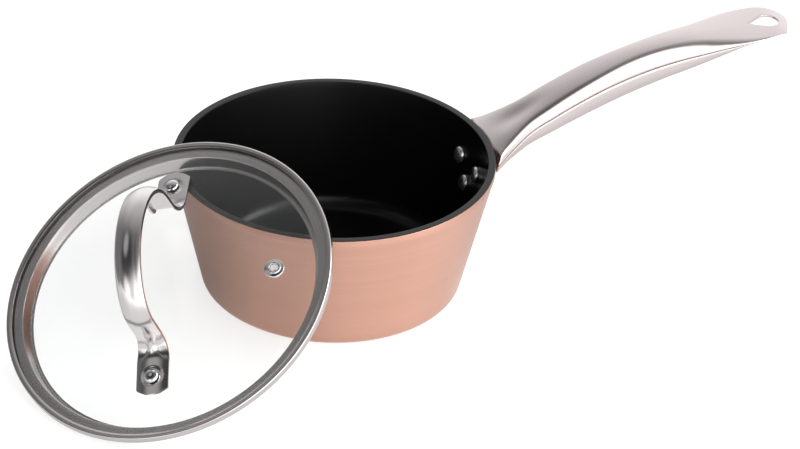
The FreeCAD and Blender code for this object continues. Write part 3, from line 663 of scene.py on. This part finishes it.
SHEET, LIP = 0.6, 3.2
band_outline = rounded(
    [(LID_RADIUS - LIP, -0.38), (LID_RADIUS - 2.0, 0.0), (LID_RADIUS, -0.05), (LID_RADIUS, -4.3),
     (79.6, -4.3), (77.7, -10.4), (76.9, -11.0), (75.6, -10.4), (75.8, -9.9), (76.9, -10.3),
     (78.9, -3.75), (LID_RADIUS - SHEET, -3.72), (LID_RADIUS - SHEET, -SHEET),
     (LID_RADIUS - LIP, -SHEET)],
    [0.1, 1.6, 1.75, 1.1, 0.9, 0.6, 0.5, 0.25, 0.25, 0.3, 0.6, 0.5, 0.9, 0.08], 9)
skin("rim_band", [turned_sheet(filled(band_outline, 2.5)[::-1], 320, LID)],
     "lid", ["lid_rim_band"], BAND)


def on_dome(x, y):
    """Frame on the glass at (x, y): Z along the dome's normal, Y outwards from the middle."""
    radius = math.hypot(x, y)
    outward = np.array([x, y, 0.0]) / radius
    normal = np.array([x, y, math.sqrt(DOME_RADIUS ** 2 - radius ** 2)]) / DOME_RADIUS
    across = np.cross(outward, np.array([0, 0, 1.0]))
    ahead = np.cross(normal, across)
    origin = np.array([x, y, float(dome(radius))])
    return placed(origin, LID), np.array([across, ahead, normal]) @ LID[1]


FOOT_OFFSET, VENT_OFFSET = 55.9, 59.1


def drilled(piece, holes):
    """Round holes through a piece: each is (frame, radius), cut by a closed drill along the frame's
    Z."""
    for place, radius in holes:
        outline = np.array([[0, -9.0], [radius, -9.0], [radius, 6.0], [0, 6.0]])
        grid = turned_sheet(outline, 64, place)[0]
        mesh = raw_mesh("drill", grid.reshape(-1, 3), cells_of(grid))
        weld(mesh, WELD, WELD / 20)
        drill = stand("drill", mesh)
        cut = piece.modifiers.new("hole", "BOOLEAN")
        cut.operation, cut.solver, cut.object = "DIFFERENCE", "EXACT", drill
        bpy.context.view_layer.update()
        finished = piece.evaluated_get(bpy.context.evaluated_depsgraph_get())
        result = bpy.data.meshes.new_from_object(finished)
        weld(result, 25 * WELD, 10 * WELD)
        piece.modifiers.clear()
        piece.data = result
        bpy.data.objects.remove(drill)
        bpy.data.meshes.remove(mesh)


drilled(pane, [(on_dome(0, FOOT_OFFSET), 2.7), (on_dome(0, -FOOT_OFFSET), 2.7),
               (on_dome(VENT_OFFSET, 0), 3.7)])


def ring(name, instead_of, place, corners, radii, finish, around=64):
    """Closed ring on the lid: a rounded section carried once round the frame's Z."""
    outline = rounded(corners, radii, 5)
    outline = np.concatenate([outline, outline[:1]])
    skin(name, [turned_sheet(outline, around, place)], "lid", [instead_of], finish)


# piece, node, bore, radius, underside, top, rounding of the outer edges, slot, finish
FLAT_RINGS = (
    ("seal_above_", "top_seal_", 2.5, 6.4, 0.1, 0.9, 0.3, "clear_silicone", SILICONE),
    ("seal_below_", "under_seal_", 2.5, 6.4, -3.9, -3.1, 0.3, "clear_silicone", SILICONE),
    ("plain_washer_", "washer_", 2.4, 5.8, -4.8, -4.0, 0.2, "polished_steel", MIRROR))
NUT = np.array([[2.4, -4.9], [4.4, -4.9], [4.4, -6.6], [4.1, -7.5], [3.2, -8.05], [2.4, -8.1],
                [2.4, -4.9]])
SCREW = np.concatenate([[[0, -8.05], [1.9, -8.05], [2.3, -7.7], [2.3, 2.4], [3.5, 2.4]],
                        domed(3.7, 4.55, 2.75)])

for word, y in (("upper", FOOT_OFFSET), ("lower", -FOOT_OFFSET)):
    seat = on_dome(0, y)
    for piece, node, bore, radius, low, high, edge, slot, finish in FLAT_RINGS:
        ring(piece + word, node + word, seat, [(bore, low), (radius, low), (radius, high),
                                               (bore, high)], [0.1, edge, edge, 0.1], finish)
    skin("cap_nut_" + word, [turned_sheet(NUT, 64, seat)],
         "lid", ["lid_nut_" + word], MIRROR)
    skin("dome_screw_" + word, [turned_sheet(SCREW, 64, seat)],
         "lid", ["lid_screw_" + word], MIRROR)

ring("vent_grommet", "vent_eyelet", on_dome(VENT_OFFSET, 0),
     [(2.3, -4.2), (3.3, -4.2), (3.3, 0.1), (5.2, 0.1), (5.2, 1.0), (3.5, 1.2), (3.3, 1.75),
      (2.3, 1.75)], [0.15, 0.2, 0.1, 0.35, 0.45, 0.35, 0.45, 0.45], MIRROR, 96)

# ---------------------------------------------------------------- lid strap

HALF_SPAN, ARCH_FOOT, ARCH_RISE = 39.8, 26.2, 29.6
PLATE_BACK, PLATE_AHEAD, PLATE_Z = 9.0, 9.4, 2.3
BAR_HALF, PLATE_HALF, FACE_HALF, PLATE_FACE = 6.7, 8.5, 4.4, 8.1


def strap_path():
    """Outer line of one half of the strap in (y, n): a quarter ellipse, an upright leg, a bend
    outwards and the flat foot that follows the dome's slope. Returns it with its lengths."""
    angle = np.linspace(0, math.pi / 2, 90)
    arch = np.stack([HALF_SPAN * np.sin(angle), ARCH_FOOT + ARCH_RISE * np.cos(angle)], 1)
    tilt = math.asin(FOOT_OFFSET / DOME_RADIUS)
    ahead = np.array([math.cos(tilt), -math.sin(tilt)])
    foot_mid = np.array([FOOT_OFFSET + PLATE_Z * math.sin(tilt),
                         float(dome(FOOT_OFFSET)) + PLATE_Z * math.cos(tilt)])
    bend_to = foot_mid - ahead * PLATE_BACK
    bend_from = np.array([HALF_SPAN + 0.3, 17.5])
    knee_y = HALF_SPAN + 1.3
    knee = np.array([knee_y, bend_to[1] + (bend_to[0] - knee_y) * math.tan(tilt)])
    t = np.linspace(0, 1, 40)[:, None]
    bend = (1 - t) ** 2 * bend_from + 2 * t * (1 - t) * knee + t * t * bend_to
    leg = np.linspace(arch[-1], bend_from, 12)[1:-1]
    plate = np.linspace(bend_to, foot_mid + ahead * PLATE_AHEAD, 30)[1:]
    line = np.concatenate([arch, leg, bend, plate])
    return line, lengths(line)


LINE, RUN = strap_path()
PLATE_START = RUN[-1] - PLATE_BACK - PLATE_AHEAD
NECK = PLATE_START - 6.5


def on_line(run):
    """The (y, n) of the outer line at a length along it."""
    return np.interp(run, RUN, LINE[:, 0]), np.interp(run, RUN, LINE[:, 1])


def strap_half(side):
    """One half of the strap as a closed bar. Along it the flat face pinches at the neck and spreads
    into the foot; across it the section is a flat face, two bevels, two sides and a hollow back.
    The foot's end is an arc: each column stops short of the full length by its sagitta."""
    thin = PLATE_START / RUN[-1] - 0.18
    share = np.concatenate([np.linspace(0, thin, 60), np.linspace(thin, 1, 90)[1:]])
    run = (share * RUN[-1])[:, None]
    foot = ease(PLATE_START - 9.0, PLATE_START + 1.0, run)
    half = BAR_HALF + (PLATE_HALF - BAR_HALF) * ease(PLATE_START - 12.0, PLATE_START + 1.0, run)
    flat = FACE_HALF + (PLATE_FACE - FACE_HALF) * ease(PLATE_START - 4.5, PLATE_START + 0.5, run)
    flat = flat * (1 - 0.55 * np.exp(-((run - NECK) / 4.0) ** 2))
    bevel = 2.1 * (1 - foot) + 1.15 * foot
    depth = 4.0 * (1 - foot) + 2.0 * foot
    hollow = np.minimum(depth, 1.9 * (1 - foot) + 2.0 * foot)
    crowned = 0.95 + 0.05 * foot

    # x and z of the section, right half, from the middle of the face to the middle of the back
    face = np.linspace(0, 1, 9)[None, :]
    cut = np.linspace(0, 1, 7)[None, 1:]
    down = np.linspace(0, 1, 4)[None, 1:]
    sine, cosine = np.sin(cut * math.pi / 2), np.cos(cut * math.pi / 2)
    x = np.concatenate([
        flat * face, flat + (half - flat) * (0.35 * sine + 0.65 * cut), half + 0 * down,
        half - 0.5, half - 1.0, half - 1.3, (half - 1.0) * 0.5, 0 * half], 1)
    z = -np.concatenate([
        crowned * face ** 2, crowned + (bevel - crowned) * (0.35 * (1 - cosine) + 0.65 * cut),
        bevel + (depth - bevel) * down, depth, depth - 0.15 * (1 - foot), hollow, hollow,
        hollow], 1)
    x = np.concatenate([x, -x[:, -2::-1]], 1)
    z = np.concatenate([z, z[:, -2::-1]], 1)

    at = run - 3.1 * (x / PLATE_HALF) ** 2 * ease(PLATE_START, RUN[-1], run)
    y, n = on_line(at)
    (ahead_y, ahead_n), (back_y, back_n) = on_line(at + 0.6), on_line(at - 0.6)
    step_y, step_n = ahead_y - back_y, ahead_n - back_n
    size = np.hypot(step_y, step_n)
    out_y = np.where(run > 0, -step_n / size, 0.0)
    out_n = np.where(run > 0, step_y / size, 1.0)
    z = z - 0.45 * (1 - ease(4.2, 5.6, np.hypot(x, y - FOOT_OFFSET))) * (z > -0.8)
    grid = np.stack([x, side * (y + out_y * z), n + out_n * z], -1)
    uv = np.stack([run + 0 * x, x + 40.0 * (z < -0.6 * depth)], -1)
    return grid, uv


sheets = []
for side in (1, -1):
    grid, uv = strap_half(side)
    grid = placed(grid, LID)
    if side < 0:
        grid, uv = grid[:, ::-1], uv[:, ::-1]
    sheets.append((grid, uv))
    cap = np.stack([grid[-1], np.broadcast_to(grid[-1].mean(0), grid[-1].shape)], 0)
    sheets.append((cap, np.stack([uv[-1], uv[-1]], 0)))
skin("lid_strap", sheets, "lid", ["lid_handle_strap"], STRAP, crease=45.0)

# ---------------------------------------------------------------- carried-over pieces

for node, material in (("induction_base_plate", DISC), ("handle_flange", STEEL)):
    mesh = nodes[node].data
    mesh.materials.clear()
    mesh.materials.append(material)

# ---------------------------------------------------------------- studio


FLOOR_REACH = 14.0
# Directions from the pan in which the floor's glow, as mirrors see it, carries painted shade.
PAINTED_SHADE_BEHIND_LEFT, PAINTED_SHADE_TO_RIGHT = (-0.643, 0.766, 0.0), (0.966, 0.259, 0.0)


def floor():
    """Pale plain floor: one flat lit sheet, far wider than the object, with an even glow. Mirrors
    alone see painted shade in that glow behind the pan's left side and off to its right, and a
    painted brightening that grows with distance."""
    a = FLOOR_REACH
    mesh = bpy.data.meshes.new("studio_floor")
    mesh.from_pydata([(-a, -a, 0), (a, -a, 0), (a, a, 0), (-a, a, 0)], [], [(0, 1, 2, 3)])
    piece = stand("studio_floor", mesh)
    f = Finish("floor_white_painted_shade", (0.42, 0.42, 0.42), 0.0, 0.7, Specular_IOR_Level=0.1,
               Emission_Color=(1.0, 1.0, 1.0, 1.0), Emission_Strength=0.76)

    def measured(operation, *vectors):
        return f.add("ShaderNodeVectorMath", dict(enumerate(vectors)),
                     operation=operation).outputs["Value"]

    # Painted shade and light for glossy rays only: the glow dims behind the pan's left side and off
    # to its right, and grows with distance; the camera sees the even glow.
    spot = f.where((1, 1, 1))
    level = f.add("ShaderNodeVectorMath", {0: spot}, operation="NORMALIZE").outputs["Vector"]
    left = f.ramp(measured("DOT_PRODUCT", level, PAINTED_SHADE_BEHIND_LEFT), (0.15, 0.55), (0.80, 0.12),
                  (1.0, 0.05))
    right = f.ramp(measured("DOT_PRODUCT", level, PAINTED_SHADE_TO_RIGHT), (0.75, 1.0), (1.0, 0.55))
    far = f.add("ShaderNodeMapRange", {"Value": measured("LENGTH", spot), "From Min": 0.3,
                                       "From Max": 0.8, "To Min": 1.0, "To Max": 2.6})
    mirrored = f.maths("MULTIPLY", f.maths("MULTIPLY", left, right), far.outputs["Result"])
    rays = f.add("ShaderNodeLightPath").outputs
    bounced = f.maths("MULTIPLY", rays["Is Glossy Ray"],
                      f.maths("SUBTRACT", 1.0, rays["Is Transmission Ray"]))
    f.link(f.mixed(bounced, (0.76, 0.76, 0.76), mirrored), "Emission Strength")
    mesh.materials.append(f.mat)


floor()


def lamp(name, place, aim, size, power, mirrored=True):
    """Soft box: a rectangular light at place, looking at aim; mirrors and glass may miss it."""
    light = bpy.data.lights.new(name, "AREA")
    light.shape = "RECTANGLE"
    light.size, light.size_y = size
    light.energy = power
    holder = stand(name, light)
    holder.location = place
    holder.rotation_euler = (Vector(aim) - Vector(place)).to_track_quat("-Z", "Y").to_euler()
    holder.visible_glossy = holder.visible_transmission = mirrored


lamp("key_box", (1.75, -0.62, 1.9), (0, 0, 0.05), (1.5, 1.0), 26)
lamp("top_sheet", (0.2, -0.2, 3.2), (0, 0, 0), (3.2, 3.2), 20, mirrored=False)

# tone of the walls against the height of the direction, then (direction, tones) that multiply it
# and that add to it, each tone against how closely one looks that way
HEIGHTS = ((0.0, 1.0), (0.30, 0.95), (0.52, 0.80), (0.70, 0.50), (0.80, 0.28), (1.0, 0.20))
DARK = (((-0.65, -0.14, 0.75), ((0.0, 1.0), (0.80, 1.0), (0.93, 0.22), (1.0, 0.16))),
        ((-0.853, 0.492, 0.17), ((0.0, 1.0), (0.35, 1.0), (0.85, 0.25), (1.0, 0.22))))
BRIGHT = (((0.34, -0.94, 0.12), ((0.0, 0.0), (0.60, 0.0), (0.90, 1.7), (1.0, 1.7))),
          ((-0.584, 0.146, 0.799), ((0.0, 0.0), (0.962, 0.0), (0.99, 0.45), (1.0, 0.45))),
          ((-0.88, -0.45, 0.15), ((0.0, 0.0), (0.94, 0.0), (0.985, 0.9), (1.0, 0.9))),
          ((0.29, 0.74, 0.60), ((0.0, 0.0), (0.60, 0.0), (0.92, 0.36), (1.0, 0.36))))


def surroundings():
    """Studio walls: bright at the horizon and in front, grey overhead, dark to the left above and
    behind the pan's left side."""
    world = bpy.data.worlds.new("studio")
    bpy.context.scene.world = world
    world.use_nodes = True
    tree = world.node_tree

    def ramp(value, tones):
        node = tree.nodes.new("ShaderNodeValToRGB")
        while len(node.color_ramp.elements) < len(tones):
            node.color_ramp.elements.new(0.5)
        for element, (at, tone) in zip(node.color_ramp.elements, tones):
            element.position, element.color = at, (tone, tone, tone, 1)
        tree.links.new(value, node.inputs["Fac"])
        return node.outputs["Color"]

    def toward(direction):
        node = tree.nodes.new("ShaderNodeVectorMath")
        node.operation = "DOT_PRODUCT"
        tree.links.new(place.outputs["Generated"], node.inputs[0])
        node.inputs[1].default_value = Vector(direction).normalized()
        return node.outputs["Value"]

    def joined(first, second, kind):
        node = tree.nodes.new("ShaderNodeMix")
        node.data_type, node.blend_type = "RGBA", kind
        node.inputs[0].default_value = 1.0
        tree.links.new(first, node.inputs[6])
        tree.links.new(second, node.inputs[7])
        return node.outputs[2]

    place = tree.nodes.new("ShaderNodeTexCoord")
    colour = ramp(toward((0, 0, 1)), HEIGHTS)
    for lobes, kind in ((DARK, "MULTIPLY"), (BRIGHT, "ADD")):
        for direction, tones in lobes:
            colour = joined(colour, ramp(toward(direction), tones), kind)
    tree.links.new(colour, tree.nodes["Background"].inputs["Color"])
    tree.nodes["Background"].inputs["Strength"].default_value = 1.0


surroundings()

CAMERA_LENS, CAMERA_SENSOR = 212.7, 36.0
CAMERA_PLACE = (-0.75799, -1.97464, 1.30532)
CAMERA_RIGHT = (0.93398863, -0.35588525, 0.03179499)
CAMERA_UP = (0.15807591, 0.49137459, 0.85648293)
CAMERA_AHEAD = (0.3204329, 0.7949193, -0.51519517)

camera_data = bpy.data.cameras.new("camera")
camera_data.lens = CAMERA_LENS
camera_data.sensor_width = CAMERA_SENSOR
camera = stand("camera", camera_data)
turn = Matrix((CAMERA_RIGHT, CAMERA_UP, -Vector(CAMERA_AHEAD))).transposed().to_4x4()
camera.matrix_world = Matrix.Translation(CAMERA_PLACE) @ turn
bpy.context.scene.camera = camera
bpy.context.scene.view_settings.view_transform = "Standard"

bpy.context.view_layer.update()
